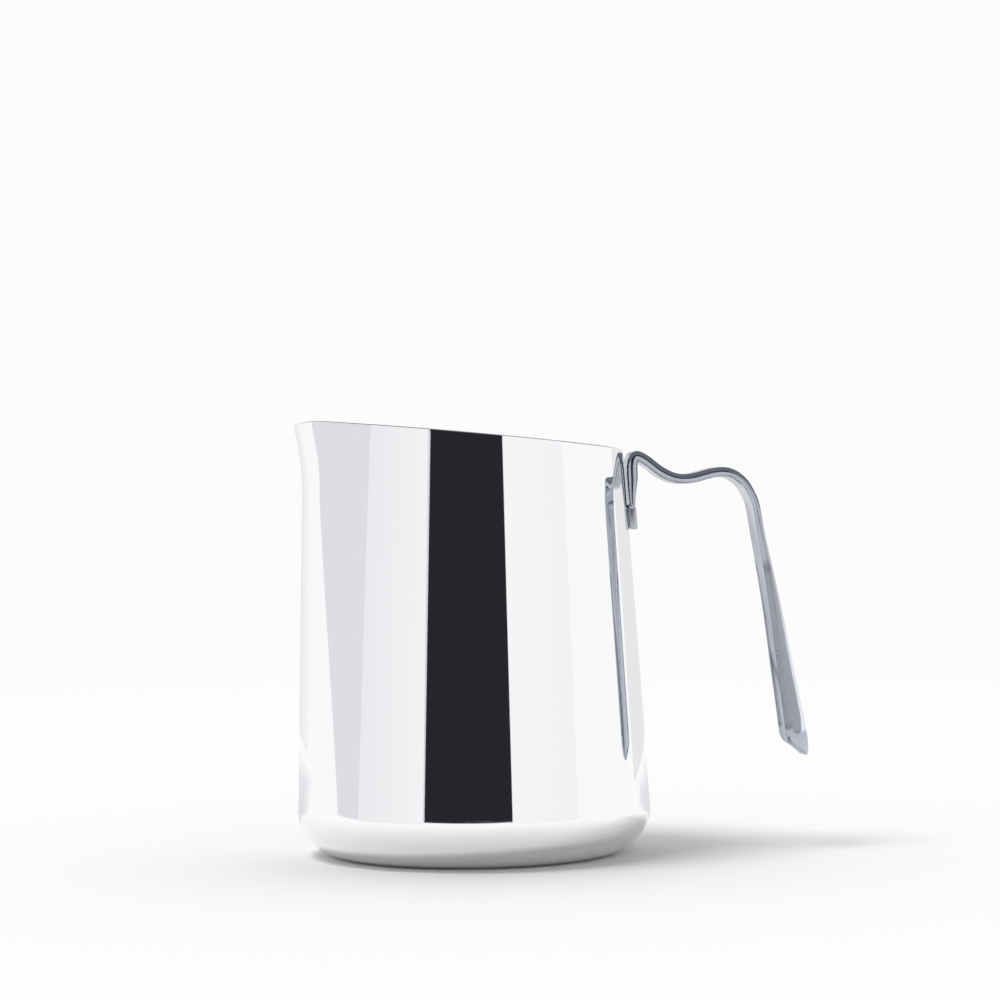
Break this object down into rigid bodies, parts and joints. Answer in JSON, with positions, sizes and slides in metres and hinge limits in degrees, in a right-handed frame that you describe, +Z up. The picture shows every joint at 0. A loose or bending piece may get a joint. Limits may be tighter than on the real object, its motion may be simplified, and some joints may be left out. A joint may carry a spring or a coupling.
{
  "type": "candle melting pot",
  "caption": "Small polished steel pouring pot with a tapered wall, a soft spout lobe, a slanted rim and an open hooked handle.",
  "frame": {"origin": "centre of the flat base, on the surface the pot stands on", "axes": "+Z up, +X from the cup's axis towards the handle; the spout points to -X"},
  "size_m": [0.119, 0.0814, 0.1],
  "materials": {
    "polished_wall": "mirror-polished stainless steel, satin inside",
    "polished_handle": "polished stainless steel bar with soft edges",
    "pad_steel": "polished stainless steel block"
  },
  "bodies": {
    "root": {"pot_body": "polished_wall", "handle_strap": "polished_handle", "handle_pad": "pad_steel"}
  },
  "joints": []
}
